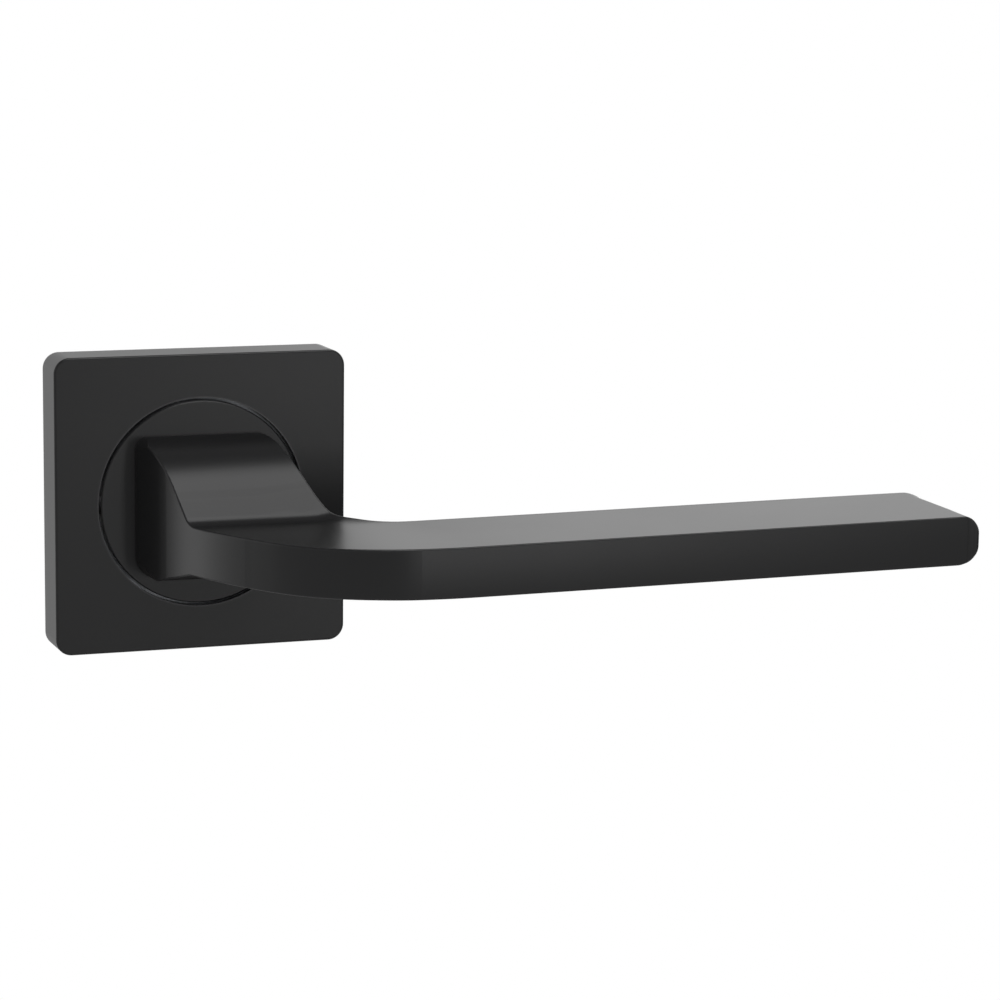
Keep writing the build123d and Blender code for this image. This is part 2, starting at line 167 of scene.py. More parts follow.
# %% White surround
SURROUND_FRONT = 0.32
SURROUND_BACK_LEFT = 0.68
SURROUND_BACK = 1.08
SURROUND_FILL = 0.55
CEILING_SHARE = 0.15
LEFT_TO_RIGHT = (0.26, 0.34)
FRONT_TO_BACK = (-0.25, 0.4)
LOW_TO_HIGH = (0.35, 0.75)

world = bpy.data.worlds.new("white_surround")
bpy.context.scene.world = world
world.use_nodes = True
tree = world.node_tree
tree.nodes.clear()
direction = add_node(tree, "ShaderNodeTexCoord")
axes = add_node(tree, "ShaderNodeSeparateXYZ")
tree.links.new(direction.outputs["Generated"], axes.inputs[0])
behind = ramp(tree, axes.outputs["X"], *LEFT_TO_RIGHT, SURROUND_BACK_LEFT, SURROUND_BACK)
backness = ramp(tree, axes.outputs["Y"], *FRONT_TO_BACK, 0.0, 1.0)
front_to_back = choose(tree, backness, SURROUND_FRONT, behind)
low_to_high = ramp(tree, axes.outputs["Z"], *LOW_TO_HIGH, 1.0, CEILING_SHARE)
in_mirror = add_node(tree, "ShaderNodeMath", operation="MULTIPLY")
by_camera, by_mirror = ray_kinds(tree)
surround = add_node(tree, "ShaderNodeBackground")
surround.inputs["Color"].default_value = (1, 1, 1, 1)
output = add_node(tree, "ShaderNodeOutputWorld")
wire(tree, (front_to_back, in_mirror.inputs[0]), (low_to_high, in_mirror.inputs[1]))
brightness = choose(tree, by_camera, choose(tree, by_mirror, SURROUND_FILL, in_mirror.outputs[0]), 1.0)
wire(tree, (brightness, surround.inputs["Strength"]), (surround.outputs[0], output.inputs[0]))
print("surround in reflections:", SURROUND_FRONT, "in front,", SURROUND_BACK, "behind; white to the camera")

# %% Softboxes
def softbox(name, place, aim, width, height, radiance):
    """Area light of a given brightness that faces a point."""
    lamp = bpy.data.lights.new(name, "AREA")
    lamp.shape = "RECTANGLE"
    lamp.size = width
    lamp.size_y = height
    lamp.energy = radiance * math.pi * width * height
    box = bpy.data.objects.new(name, lamp)
    bpy.context.scene.collection.objects.link(box)
    box.location = place
    box.rotation_euler = (Vector(aim) - Vector(place)).to_track_quat("-Z", "Y").to_euler()
    box.visible_camera = False
    return box


handle_middle = (cad_box[0] + cad_box[1]) / 2
softbox("top_softbox", (0.27, -0.36, 0.92), handle_middle, 0.85, 0.62, 2.3)
softbox("front_card", (0.526, -1.45, -0.04), handle_middle, 0.10, 0.52, 4.6)
softbox("side_card", (-2.5, 1.6, -0.55), handle_middle, 0.36, 0.90, 2.0)
print("one softbox above, one card in front on the right, one card behind on the left")

# %% [markdown]
# ## The floor
# A door handle sits about a metre above the floor, so the floor is that far below. It is pale and
# plain, white for the camera as the surround is. In reflections it fades to the front as the
# surround does, so that the horizon shows little in the metal, and to the right, where the
# blade's front darkens towards its end.

# %% Floor
FLOOR_DROP = 1.0
FLOOR_HALF = 12.0
FLOOR_BACK = 0.60
FLOOR_FAR_FRONT = 0.28
FLOOR_NEAR_FRONT = 0.38
FLOOR_RIGHT_SHARE = 0.25
FRONT_RISE = (-7.5, -4.0)
BACK_RISE = (1.5, 3.6)
RIGHT_FALL = (1.6, 2.6)

floor_mesh = bpy.data.meshes.new("floor")
floor_signs = ((-1, -1), (1, -1), (1, 1), (-1, 1))
floor_corners = [(x * FLOOR_HALF, y * FLOOR_HALF, -FLOOR_DROP) for x, y in floor_signs]
floor_mesh.from_pydata(floor_corners, [], [(0, 1, 2, 3)])
floor = bpy.data.objects.new("floor", floor_mesh)
bpy.context.scene.collection.objects.link(floor)

pale_floor = bpy.data.materials.new("pale_floor")
pale_floor.use_nodes = True
tree = pale_floor.node_tree
tree.nodes.clear()
place = add_node(tree, "ShaderNodeTexCoord")
axes = add_node(tree, "ShaderNodeSeparateXYZ")
tree.links.new(place.outputs["Object"], axes.inputs[0])
by_camera, by_mirror = ray_kinds(tree)
seen = add_node(tree, "ShaderNodeMath", operation="MAXIMUM")
matt = add_node(tree, "ShaderNodeBsdfDiffuse")
matt.inputs["Color"].default_value = (0.8, 0.8, 0.8, 1)
white = add_node(tree, "ShaderNodeEmission")
either = add_node(tree, "ShaderNodeMixShader")
output = add_node(tree, "ShaderNodeOutputMaterial")
lengthwise = add_node(tree, "ShaderNodeMath", operation="ADD")
fading = add_node(tree, "ShaderNodeMath", operation="MULTIPLY")
front_part = ramp(tree, axes.outputs["Y"], *FRONT_RISE, FLOOR_FAR_FRONT, FLOOR_NEAR_FRONT)
back_part = ramp(tree, axes.outputs["Y"], *BACK_RISE, 0.0, FLOOR_BACK - FLOOR_NEAR_FRONT)
right_part = ramp(tree, axes.outputs["X"], *RIGHT_FALL, 1.0, FLOOR_RIGHT_SHARE)
wire(
    tree,
    (front_part, lengthwise.inputs[0]),
    (back_part, lengthwise.inputs[1]),
    (lengthwise.outputs[0], fading.inputs[0]),
    (right_part, fading.inputs[1]),
    (choose(tree, by_camera, fading.outputs[0], 1.0), white.inputs["Strength"]),
    (by_camera, seen.inputs[0]),
    (by_mirror, seen.inputs[1]),
    (seen.outputs[0], either.inputs[0]),
    (matt.outputs[0], either.inputs[1]),
    (white.outputs[0], either.inputs[2]),
    (either.outputs[0], output.inputs[0]),
)
floor_mesh.materials.append(pale_floor)
print("floor", FLOOR_DROP, "m below the spindle")

# %% [markdown]
# ## Effects that the finishes share
# Every finish here is a skin on metal or plastic, and the skins differ in a few measurable things:
# how coarse their grain is, how uneven their tone is, whether the bar or sheet was drawn in one
# direction, and how far the edges are rubbed. On the satin black the same edge mask carries a painted
# highlight instead. Each of these is built once as a node group with its sizes as inputs, in metres, so
# each material places it with its own values.

# %% Helper for node groups
def new_group(name, inputs, outputs):
    """Empty shader group with its sizes and values, and its two end nodes."""
    group = bpy.data.node_groups.new(name, "ShaderNodeTree")
    for title, value in inputs.items():
        kind = "NodeSocketVector" if isinstance(value, tuple) else "NodeSocketFloat"
        group.interface.new_socket(title, in_out="INPUT", socket_type=kind).default_value = value
    for title in outputs:
        group.interface.new_socket(title, in_out="OUTPUT", socket_type="NodeSocketFloat")
    return group, add_node(group, "NodeGroupInput"), add_node(group, "NodeGroupOutput")


def noise_by_size(group, size, detail):
    """Noise in object space whose features have a given size in metres."""
    place = add_node(group, "ShaderNodeTexCoord")
    per_metre = add_node(group, "ShaderNodeMath", operation="DIVIDE")
    per_metre.inputs[0].default_value = 1.0
    noise = add_node(group, "ShaderNodeTexNoise")
    noise.inputs["Detail"].default_value = detail
    wire(
        group,
        (size, per_metre.inputs[1]),
        (place.outputs["Object"], noise.inputs["Vector"]),
        (per_metre.outputs[0], noise.inputs["Scale"]),
    )
    return noise.outputs[0]


print("group helpers ready")

# %% Skin grain: small bumps of a coat, a casting or a moulding
skin_grain, given, made = new_group("skin_grain", {"Grain Size": 0.0005, "Fine Share": 0.4}, ["Height"])
FINE_TO_COARSE = 0.3
fine_size = add_node(skin_grain, "ShaderNodeMath", operation="MULTIPLY")
fine_size.inputs[1].default_value = FINE_TO_COARSE
skin_grain.links.new(given.outputs["Grain Size"], fine_size.inputs[0])
coarse = noise_by_size(skin_grain, given.outputs["Grain Size"], 1.0)
fine = noise_by_size(skin_grain, fine_size.outputs[0], 2.0)
skin_grain.links.new(choose(skin_grain, given.outputs["Fine Share"], coarse, fine), made.inputs["Height"])
print("group", skin_grain.name)

# %% Uneven tone: slow patches, for colour and roughness
PATCH_RANGE = (0.1, 0.9)
uneven_tone, given, made = new_group("uneven_tone", {"Patch Size": 0.02}, ["Patch"])
patches = noise_by_size(uneven_tone, given.outputs["Patch Size"], 3.0)
uneven_tone.links.new(ramp(uneven_tone, patches, *PATCH_RANGE, 0.0, 1.0), made.inputs["Patch"])
print("group", uneven_tone.name)

# %% Drawn lines: the fine lines of drawn bar and rolled sheet
drawn_lines, given, made = new_group("drawn_lines", {"Lines per Metre": (4000.0, 60.0, 4000.0)}, ["Height"])
place = add_node(drawn_lines, "ShaderNodeTexCoord")
stretched = add_node(drawn_lines, "ShaderNodeVectorMath", operation="MULTIPLY")
lines = add_node(drawn_lines, "ShaderNodeTexNoise")
lines.inputs["Scale"].default_value = 1.0
lines.inputs["Detail"].default_value = 2.0
wire(
    drawn_lines,
    (place.outputs["Object"], stretched.inputs[0]),
    (given.outputs["Lines per Metre"], stretched.inputs[1]),
    (stretched.outputs[0], lines.inputs["Vector"]),
    (lines.outputs[0], made.inputs["Height"]),
)
print("group", drawn_lines.name)

# %% Rubbed and highlit edges: a mask of convex edges, where hands and tools polish a skin, and where the satin black carries a painted highlight
EDGE_SAMPLES = 6
EDGE_RANGE = (0.9, 0.5)
rubbed_and_highlit_edges, given, made = new_group("rubbed_and_highlit_edges", {"Width": 0.0004}, ["Edge"])
thickness = add_node(rubbed_and_highlit_edges, "ShaderNodeAmbientOcclusion", inside=True, only_local=True)
thickness.samples = EDGE_SAMPLES
wire(
    rubbed_and_highlit_edges,
    (given.outputs["Width"], thickness.inputs["Distance"]),
    (ramp(rubbed_and_highlit_edges, thickness.outputs["AO"], *EDGE_RANGE, 0.0, 1.0), made.inputs["Edge"]),
)
print("group", rubbed_and_highlit_edges.name)

# %% [markdown]
# ## One way to build a finish
# A finish is a Principled shader with its grain in the bump, its patches in the colour and the
# roughness, and its lighter edges on top: rubbed edges on most finishes, a painted highlight on the
# satin black. Writing that once keeps the five finishes alike in build, so that only their numbers
# differ. What is the same all over, such as the metalness, is set on the shader itself.

# %% Helpers for finishes
def place_group(tree, group, **values):
    """Puts a group in a material with its own sizes."""
    placed = add_node(tree, "ShaderNodeGroup", node_tree=group)
    for name, value in values.items():
        placed.inputs[name.replace("_", " ").title().replace("Per", "per")].default_value = value
    return placed.outputs


def blend_colours(tree, mask, off, on):
    """Mixes two colours, the first a triple or a socket, by a mask."""
    mixed = add_node(tree, "ShaderNodeMix", data_type="RGBA")
    tree.links.new(mask, mixed.inputs[0])
    for slot, value in ((6, off), (7, on)):
        if isinstance(value, tuple):
            mixed.inputs[slot].default_value = (*value, 1)
        else:
            tree.links.new(value, mixed.inputs[slot])
    return mixed.outputs[2]


def new_finish(
    name, light, dark, edge_wear_and_highlight, patch_size, edge_width, smooth, rough, worn, metallic, height, depth
):
    """Finish with patches from light to dark, a lighter colour on convex edges for wear and painted
    highlights, and a bump height in metres.
    """
    material = bpy.data.materials.new(name)
    material.use_nodes = True
    tree = material.node_tree
    shader = tree.nodes["Principled BSDF"]
    shader.inputs["Metallic"].default_value = metallic
    patch = place_group(tree, uneven_tone, patch_size=patch_size)["Patch"]
    edge = place_group(tree, rubbed_and_highlit_edges, width=edge_width)["Edge"]
    # The edge colour goes over the patches along convex edges: wear on the bare metals and the plastic, a
    # painted highlight on the satin black.
    colour = blend_colours(tree, edge, blend_colours(tree, patch, light, dark), edge_wear_and_highlight)
    roughness = choose(tree, edge, choose(tree, patch, smooth, rough), worn)
    bump = add_node(tree, "ShaderNodeBump")
    bump.inputs["Strength"].default_value = 1.0
    bump.inputs["Distance"].default_value = depth
    wire(
        tree,
        (height(tree)["Height"], bump.inputs["Height"]),
        (bump.outputs[0], shader.inputs["Normal"]),
        (colour, shader.inputs["Base Color"]),
        (roughness, shader.inputs["Roughness"]),
    )
    return material


def dress(material, *names):
    """Gives a finish to CAD pieces."""
    for name in names:
        nodes[name].data.materials.clear()
        nodes[name].data.materials.append(material)
    print(material.name, "on", ", ".join(names))


# %% [markdown]
# ## Satin black
# The lever and the cover are zinc castings with a smooth black coat. The coat is thin and fine, with
# a soft gloss: a neighbour shows in it as a dark or light zone, but has no sharp outline. So the
# colour is nearly black, the grain is far below a millimetre, and the roughness is low and
# a little uneven, as a sprayed coat is.

# %% Satin black
satin_black = new_finish(
    "satin_black",
    light=(0.0125, 0.0125, 0.0130),
    dark=(0.0105, 0.0105, 0.0112),
    # Painted highlight: the convex edges are lighter, in place of the thin lines of light that small rounded
    # edges catch from the softbox.
    edge_wear_and_highlight=(0.06, 0.06, 0.062),
    patch_size=0.03,
    edge_width=0.0004,
    smooth=0.295,
    rough=0.31,
    worn=0.26,
    metallic=0.0,
    height=lambda tree: place_group(tree, skin_grain, grain_size=0.0006, fine_share=0.35),
    depth=0.0000015,
)
dress(satin_black, "lever", "rose_cover")

# %% [markdown]
# ## The lever's flowing forms
# A lever like this is cast and then polished, so its bends flow into each other and its end is
# nearly round. The CAD model joins arcs and straight runs, and a glossy coat shows each joint as a
# step. Its blade is also level and a little thin, where the real one rises slightly to its tip. A
# new mesh would have to repeat the disc, the hub and the socket. Instead a copy of the CAD lever
# is cut into fine strips, and only the points of the neck and the blade are moved, most of them by
# a fraction of a millimetre and some by up to three. The surface normals turn with them, so the
# light runs smoothly.

# %% Outlines of the neck, in mm
DISC_FRONT = -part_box("rose_cover")[0][1] / MM
NECK_DEPTH = -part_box("lever")[0][1] / MM - DISC_FRONT
NECK_DROP = 12.7
CREST_RADIUS, SLOPE_ANGLE = 18.0, 53.9


def bent_line(*bends):
    """Line of bends: each is a radius, the angle it ends at and the depth of the run after it."""
    stops, depth, offset, angle = [], 0.0, 0.0, 0.0
    for radius, end, run in bends:
        end = math.radians(end)
        radius = math.copysign(radius, end - angle)
        stops.append((depth, offset, angle, radius))
        depth += radius * (math.sin(end) - math.sin(angle))
        offset += radius * (math.cos(angle) - math.cos(end))
        angle = end
        if run:
            stops.append((depth, offset, angle, None))
            depth += run
            offset += run * math.tan(angle)

    def offset_at(place):
        place = min(max(place, 0.0), depth)
        start, base, lean, radius = [stop for stop in stops if stop[0] <= place][-1]
        if radius is None:
            return base + (place - start) * math.tan(lean)
        sine = min(math.sin(lean) + (place - start) / radius, 1.0)
        return base + radius * (math.cos(lean) - math.sqrt(1 - sine * sine))

    return offset_at


def side_line(first, second, last_radius):
    """The neck's left side as far as the front: two bends, the run that is left, the last bend."""
    first_sine, second_sine = (math.sin(math.radians(bend[1])) for bend in (first, second))
    used = first[0] * first_sine + second[0] * (second_sine - first_sine) + last_radius * (1 - second_sine)
    return bent_line((*first, 0), (*second, NECK_DEPTH - used), (last_radius, 90, 0))


def slope_line(foot_radius):
    """The neck's top from the root to the blade: crest, slope and foot."""
    lean = math.radians(SLOPE_ANGLE)
    run = (NECK_DROP - (CREST_RADIUS + foot_radius) * (1 - math.cos(lean))) / math.tan(lean)
    return bent_line((CREST_RADIUS, SLOPE_ANGLE, run), (foot_radius, 0, 0))


modelled_side = side_line((30.0, 11.0), (30.0, 22.7), 28.3)
polished_side = side_line((8.2, 9.94), (99.3, 31.93), 26.3)
modelled_slope = slope_line(10.1)
polished_slope = slope_line(3.3)
print("neck", round(NECK_DEPTH, 1), "mm deep, its side ends at", round(polished_side(NECK_DEPTH), 2), "mm")

# %% How the lever's outline moves, in mm
ROOT_LEFT, ROOT_TOP = -11.9, 11.8
SIDE_WIDTH, BACK_WIDTH = 6.0, 12.0
INNER_START, INNER_ANGLE = (12.65, 8.0), math.radians(12.7)
INNER_RADIUS, POLISHED_INNER_RADIUS = 21.02, 18.65
INNER_FADE = 30.0
BACK_TAPER, BACK_TURN = 0.0262, 0.025


def share(value, start, end):
    """Eases from 0 to 1 between two limits."""
    part = min(max((value - start) / (end - start), 0.0), 1.0)
    return part * part * (3 - 2 * part)


def move_side(x, depth):
    """Move to the right of a point near the neck's left side."""
    side = ROOT_LEFT + modelled_side(depth)
    return (polished_side(depth) - modelled_side(depth)) * (1 - share(x, side, side + SIDE_WIDTH))


def move_back(x, depth):
    """Move to the right and outwards of a point near the inner bend and the blade's back."""
    middle_x = INNER_START[0] + INNER_RADIUS * math.cos(INNER_ANGLE)
    middle_depth = INNER_START[1] - INNER_RADIUS * math.sin(INNER_ANGLE)
    beyond = max(x - middle_x, 0.0)
    angle = math.atan2(depth - middle_depth, max(middle_x - x, 0.0)) if depth > middle_depth else 0.0
    angle = max(angle, INNER_ANGLE)
    inside = math.hypot(x - beyond - middle_x, depth + BACK_TAPER * beyond - middle_depth) - INNER_RADIUS
    grow = (POLISHED_INNER_RADIUS - INNER_RADIUS) * (1 - share(inside, 0.0, BACK_WIDTH))
    along = grow * (math.cos(INNER_ANGLE) - math.cos(angle)) * (1 - share(beyond, 0.0, INNER_FADE))
    out = grow * (math.sin(angle) - math.sin(INNER_ANGLE))
    return along, out + BACK_TURN * beyond * (1 - share(inside, 0.0, BACK_WIDTH))


print("inner bend's end moves by", [round(v, 2) for v in move_back(33.1, 24.4)], "mm")

# %% How a point of the lever moves, in mm
FOOT_ENDS = (15.5, 24.5)
BLADE_MIDDLE, BLADE_HALF = -5.1, 4.2
BLADE_LOWER, BLADE_TILT, TILT_START, TILT_ZONE = 0.21, 0.0078, 30.0, (16.0, 34.0)
BLADE_THICKER, THICKER_ZONE = 0.18, (5.0, 30.0)
FRONT_ZONE = (48.0, 57.0)
CROWN, CROWN_START = 0.15, 44.0
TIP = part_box("lever")[1][0] / MM
FRONT_CORNER = (TIP - 2.5, -55.5, 2.5, 0.6)
BACK_CORNER = (TIP - 5.0, -35.88, 5.0, 3.0)
END_MODELLED, END_TOP, END_UNDER = (3.0, 3.0), (3.1, 4.0), (4.2, 4.1)
FRONT_SHORTER, SHORTER_START, SHORTER_BACK, SHORTER_WIDTH = 0.72, 115.0, 34.0, 24.0


def half_height(x, length, drop):
    """Half of the blade's height near its end, which is rounded over a length by a drop."""
    along = min(max(x - TIP + length, 0.0), length) / length
    return BLADE_HALF - drop + drop * math.sqrt(1 - along * along)


def corner_reach(across, out, radius, tighter):
    """How far a point of a rounded corner moves out when the corner's radius shrinks."""
    if across <= 0 or out <= 0:
        return 0.0
    away = math.hypot(across, out)
    cosine, sine, flat = across / away, out / away, radius - tighter
    if radius * min(cosine, sine) <= flat * max(cosine, sine):
        return 1 / max(cosine, sine) - 1
    middle = flat * (cosine + sine)
    return (middle + math.sqrt(middle * middle - 2 * flat * flat + tighter**2)) / radius - 1


def polish(x, y, z):
    """New place of a point: softer side and back, tighter foot, crowned front and rounder end."""
    depth = -y - DISC_FRONT
    if depth <= 0:
        return Vector((x, y, z))
    along, out = move_back(x, depth)
    new_x, new_y = x + move_side(x, depth) + along, y - out
    for (middle_x, middle_y, radius, tighter), way in ((FRONT_CORNER, -1), (BACK_CORNER, 1)):
        reach = corner_reach(x - middle_x, way * (y - middle_y), radius, tighter)
        new_x, new_y = new_x + (x - middle_x) * reach, new_y + (y - middle_y) * reach
    top = ROOT_TOP - modelled_slope(depth)
    tight = ROOT_TOP - polished_slope(depth + out)
    wide = ROOT_TOP - modelled_slope(depth + out)
    lower = top - tight - (wide - tight) * share(x, *FOOT_ENDS)
    up_share = min(max((z - BLADE_MIDDLE) / (top - BLADE_MIDDLE), 0.0), 1.0)
    down_share = min(max((BLADE_MIDDLE - z) / BLADE_HALF, 0.0), 1.0)
    at_front = share(-y, *FRONT_ZONE)
    end = END_TOP if z > BLADE_MIDDLE else END_UNDER
    rounder = (half_height(new_x, *end) / half_height(x, *END_MODELLED) - 1) * at_front
    new_z = z - lower * up_share + (z - BLADE_MIDDLE) * rounder
    new_y += CROWN * ((new_z - BLADE_MIDDLE) / BLADE_HALF) ** 2 * share(depth, CROWN_START, NECK_DEPTH)
    new_z += (BLADE_TILT * (x - TILT_START) - BLADE_LOWER) * share(x, *TILT_ZONE)
    new_z -= BLADE_THICKER * down_share * share(x, *THICKER_ZONE)
    across = min(max((-y - SHORTER_BACK) / SHORTER_WIDTH, 0.0), 1.0)
    new_x -= FRONT_SHORTER * share(x, SHORTER_START, TIP) * across
    return Vector((new_x, new_y, new_z))


print("a point of the blade's corner moves to", [round(v, 2) for v in polish(126.0, -57.5, -1.5)])

# %% Cut a copy of the lever into strips
FLAT_FROM, CROWN_FROM, END_FROM = 60.0, -50.0, 114.0


def steps(start, end, step):
    """Places from start to end in mm."""
    return [start + i * step for i in range(round((end - start) / step) + 1)]


def cut_strips(shape, axis, places, wanted):
    """Cuts faces whose middle is wanted at places along an axis, in mm."""
    normal = Vector([1.0 if i == axis else 0.0 for i in range(3)])
    for place in places:
        faces = [face for face in shape.faces if wanted(face.calc_center_median() / MM)]
        edges = {edge for face in faces for edge in face.edges}
        corners = {corner for face in faces for corner in face.verts}
        bmesh.ops.bisect_plane(
            shape, geom=[*faces, *edges, *corners], dist=1e-7, plane_co=normal * place * MM, plane_no=normal
        )


def in_front(middle):
    """Says whether a place lies in front of the disc."""
    return middle.y < -DISC_FRONT


polished_mesh = nodes["lever"].data.copy()
polished_mesh.name = "polished_lever"
modelled_normals = [value for corner in polished_mesh.corner_normals for value in corner.vector]
carried = polished_mesh.attributes.new("modelled_normal", "FLOAT_VECTOR", "CORNER")
carried.data.foreach_set("vector", modelled_normals)
shape = bmesh.new()
shape.from_mesh(polished_mesh)
bmesh.ops.remove_doubles(shape, verts=shape.verts, dist=1e-6)
neck_places = [-DISC_FRONT - depth for depth in steps(0.6, 48.6, 0.6)]
front_places = steps(-57.8, -55.6, 0.2) + steps(-54.0, -48.0, 1.0)
cut_strips(shape, 1, neck_places, lambda m: in_front(m) and m.x < FLAT_FROM)
cut_strips(shape, 0, steps(4.0, 36.0, 1.0) + steps(40.0, 112.0, 4.0), in_front)
cut_strips(shape, 1, steps(-46.0, -32.0, 1.0), lambda m: in_front(m) and m.x >= FLAT_FROM)
cut_strips(shape, 2, steps(-8.7, -1.5, 0.6), lambda m: m.y < CROWN_FROM)
cut_strips(shape, 0, steps(115.0, 122.0, 1.0), in_front)
cut_strips(shape, 0, steps(122.4, 126.8, 0.2), in_front)
cut_strips(shape, 1, front_places, lambda m: m.x > END_FROM)
bmesh.ops.triangulate(shape, faces=shape.faces)
print("copy of the lever cut into", len(shape.faces), "faces")

# %% Move the points and their normals
NUDGE = 0.004


def bend_of(place):
    """How directions change at a place, for turning normals with the surface."""
    columns = []
    for axis in range(3):
        offset = Vector([NUDGE if i == axis else 0.0 for i in range(3)])
        columns.append((polish(*(place + offset)) - polish(*(place - offset))) / (2 * NUDGE))
    return Matrix(columns).inverted_safe()


def describe(name, shape):
    """Prints a piece's faces, its open edges and its volume."""
    open_edges = sum(1 for edge in shape.edges if len(edge.link_faces) != 2)
    volume = round(shape.calc_volume(signed=True) / MM**3)
    print(name, len(shape.faces), "faces,", open_edges, "open edges, volume in mm3", volume)


normal_layer = shape.loops.layers.float_vector["modelled_normal"]
largest = 0.0
moved = {}
turns = {}
for corner in shape.verts:
    place = corner.co / MM
    moved[corner] = polish(*place)
    turns[corner] = bend_of(place) if place.y < -DISC_FRONT - NUDGE else Matrix.Identity(3)
    largest = max(largest, (moved[corner] - place).length)
normals = []
for face in shape.faces:
    for loop in face.loops:
        normals.append((turns[loop.vert] @ loop[normal_layer].normalized()).normalized())
for corner, place in moved.items():
    corner.co = place * MM
print("largest move", round(largest, 2), "mm")
describe("polished_lever", shape)

shape.to_mesh(polished_mesh)
shape.free()
for name in ("modelled_normal", "custom_normal"):
    if name in polished_mesh.attributes:
        polished_mesh.attributes.remove(polished_mesh.attributes[name])
polished_mesh.shade_smooth()
polished_mesh.normals_split_custom_set(normals)
polished_mesh.materials.clear()
polished_mesh.materials.append(satin_black)
polished_lever = bpy.data.objects.new("polished_lever", polished_mesh)
bpy.context.scene.collection.objects.link(polished_lever)
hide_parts("lever")
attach(polished_lever, "lever")

# %% [markdown]
# ## Bare zinc
# The base under the cover is the same casting metal without a coat. Its skin is grey and slightly
# mottled where the metal cooled against the die, and coarser than the coat. Edges that the die
# parted are brighter.

# %% Zinc as cast
cast_zinc = new_finish(
    "cast_zinc",
    light=(0.44, 0.45, 0.47),
    dark=(0.33, 0.34, 0.36),
    edge_wear_and_highlight=(0.56, 0.57, 0.59),
    patch_size=0.006,
    edge_width=0.0003,
    smooth=0.42,
    rough=0.58,
    worn=0.34,
    metallic=1.0,
    height=lambda tree: place_group(tree, skin_grain, grain_size=0.0008, fine_share=0.5),
    depth=0.000012,
)
dress(cast_zinc, "rose_base")

# %% [markdown]
# ## Plated and blackened steel
# Bar is drawn and sheet is rolled, so both carry fine lines in one direction under the plating: along
# the spindle on bar, across the plate on sheet. The same finish is made twice, with the
# lines turned. Spring steel is blackened and oiled, which leaves it dark with soft patches.

# %% Plated steel, bar and sheet
BAR_LINES = (5000.0, 90.0, 5000.0)
SHEET_LINES = (90.0, 5000.0, 5000.0)


def plated_finish(name, lines_per_metre):
    """Zinc plating over steel with lines in one direction."""
    return new_finish(
        name,
        light=(0.64, 0.65, 0.68),
        dark=(0.55, 0.56, 0.58),
        edge_wear_and_highlight=(0.72, 0.73, 0.75),
        patch_size=0.008,
        edge_width=0.0003,
        smooth=0.26,
        rough=0.36,
        worn=0.22,
        metallic=1.0,
        height=lambda tree: place_group(tree, drawn_lines, lines_per_metre=lines_per_metre),
        depth=0.000006,
    )


plated_bar = plated_finish("plated_bar", BAR_LINES)
plated_sheet = plated_finish("plated_sheet", SHEET_LINES)
plate_screws = [f"plate_screw_{i}" for i in range(1, 5)]
dress(plated_bar, "spindle", "fixing_post_left", "fixing_post_right", *plate_screws)
dress(plated_sheet, "drive_plate", "slip_washer", "spring_plate")

# %% Blackened steel
oiled_steel = new_finish(
    "oiled_steel",
    light=(0.075, 0.075, 0.08),
    dark=(0.045, 0.045, 0.05),
    edge_wear_and_highlight=(0.20, 0.20, 0.21),
    patch_size=0.003,
    edge_width=0.0002,
    smooth=0.30,
    rough=0.42,
    worn=0.26,
    metallic=1.0,
    height=lambda tree: place_group(tree, skin_grain, grain_size=0.0003, fine_share=0.4),
    depth=0.000004,
)
dress(oiled_steel, "spindle_grub_screw", "cover_grub_screw")
dress(oiled_steel, "retaining_ring", "spring_washer", "return_spring")

# %% [markdown]
# ## Bearing plastic
# The bush and the glide ring are moulded in a natural, slightly warm white plastic that slides well.
# It has the faint grain of the mould and no paint.

# %% Natural plastic
natural_plastic = new_finish(
    "natural_plastic",
    light=(0.83, 0.82, 0.78),
    dark=(0.78, 0.77, 0.72),
    edge_wear_and_highlight=(0.86, 0.85, 0.82),
    patch_size=0.012,
    edge_width=0.0003,
    smooth=0.36,
    rough=0.46,
    worn=0.30,
    metallic=0.0,
    height=lambda tree: place_group(tree, skin_grain, grain_size=0.0004, fine_share=0.3),
    depth=0.000004,
)
dress(natural_plastic, "bearing_bush", "glide_ring")

# %% [markdown]
# ## Threads in the posts
# Two posts stand out behind the rose and take M4 bolts from the other side of the door. The CAD
# model gives them plain bores at the thread's core, because a thread is too fine for a solid. A
# thread follows a rule, one turn per pitch, so Geometry Nodes make it: a grid is rolled into the
# bore, and each point's radius follows its height and its angle. The outside of a post is a second
# rolled grid of six rings. One post is built, set on two points and realized.

# %% Sizes of the posts
bolts = next(mount for mount in frame["record"]["mounts"] if mount["name"] == "through_bolts")
low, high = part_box("fixing_post_left")
POST_SIZES = {
    "Spacing": bolts["dims"]["spacing_x_mm"] * MM,
    "Back": high[1],
    "Front": low[1],
    "Outer Radius": 3.5 * MM,
    "Flange Radius": (high[0] - low[0]) / 2,
    "Flange Thickness": 1.3 * MM,
    "Core Radius": bolts["dims"]["hole_r_mm"] * MM,
    "Thread Depth": 0.33 * MM,
    "Pitch": 0.7 * MM,
    "Lead": 0.35 * MM,
}
print("posts in mm:", {name: round(value / MM, 2) for name, value in POST_SIZES.items()})

# %% Tree for the threaded posts
SEGMENTS = 48
BORE_ROWS = 166
SEAM = 0.002 * MM

posts_tree = bpy.data.node_groups.new("threaded_posts", "GeometryNodeTree")
for title in POST_SIZES:
    posts_tree.interface.new_socket(title, in_out="INPUT", socket_type="NodeSocketFloat")
posts_tree.interface.new_socket("Finish", in_out="INPUT", socket_type="NodeSocketMaterial")
posts_tree.interface.new_socket("Geometry", in_out="OUTPUT", socket_type="NodeSocketGeometry")
sizes_in = add_node(posts_tree, "NodeGroupInput").outputs


